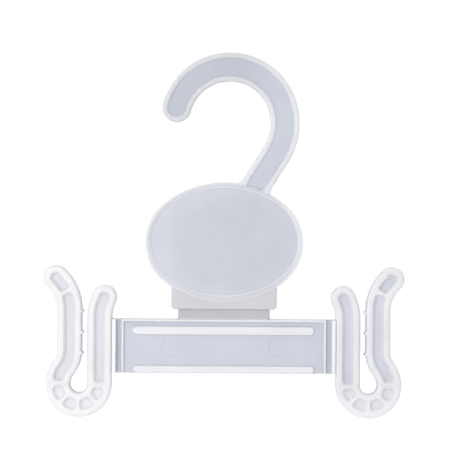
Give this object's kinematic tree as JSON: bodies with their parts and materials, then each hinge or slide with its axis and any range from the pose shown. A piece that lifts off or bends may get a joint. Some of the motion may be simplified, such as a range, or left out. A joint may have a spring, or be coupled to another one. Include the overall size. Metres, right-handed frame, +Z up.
{
  "type": "clothes hanger",
  "caption": "Small frosted plastic display hanger with a flat hook, an oval label disc, a ribbed crossbar and a U-shaped spring clip at each end.",
  "frame": {"origin": "centre of the hook's inner arc, on the hanger's mid-plane: the axis of the rail that it hangs from", "axes": "+X to the right and +Z up as seen from the front, +Y towards the back, along the rail"},
  "size_m": [0.1271, 0.0064, 0.1286],
  "materials": {
    "clear_plastic": "frosted natural polypropylene, translucent, seen over its thick walls",
    "pale_plastic": "frosted natural polypropylene, translucent, bright along its rims",
    "thin_plastic": "frosted natural polypropylene, translucent, thin web"
  },
  "bodies": {
    "hanger_body": {"hook": "clear_plastic", "label_disc": "clear_plastic", "collar": "clear_plastic", "neck": "thin_plastic", "crossbar": "clear_plastic", "left_fixed_leg": "pale_plastic", "right_fixed_leg": "pale_plastic", "left_spring_bend": "pale_plastic", "right_spring_bend": "pale_plastic"},
    "left_jaw": {"left_jaw": "pale_plastic"},
    "right_jaw": {"right_jaw": "pale_plastic"}
  },
  "joints": [
    {"name": "left_jaw_flex", "type": "hinge", "parent": "hanger_body", "child": "left_jaw", "pos_m": [-0.05275, 0, -0.0974], "axis": [0, -1, 0], "range_deg": [-1.5, 8], "stiffness_Nm_per_rad": 3, "deforming": ["left_spring_bend"]},
    {"name": "right_jaw_flex", "type": "hinge", "parent": "hanger_body", "child": "right_jaw", "pos_m": [0.04925, 0, -0.0974], "axis": [0, 1, 0], "range_deg": [-1.5, 8], "stiffness_Nm_per_rad": 3, "deforming": ["right_spring_bend"]}
  ]
}
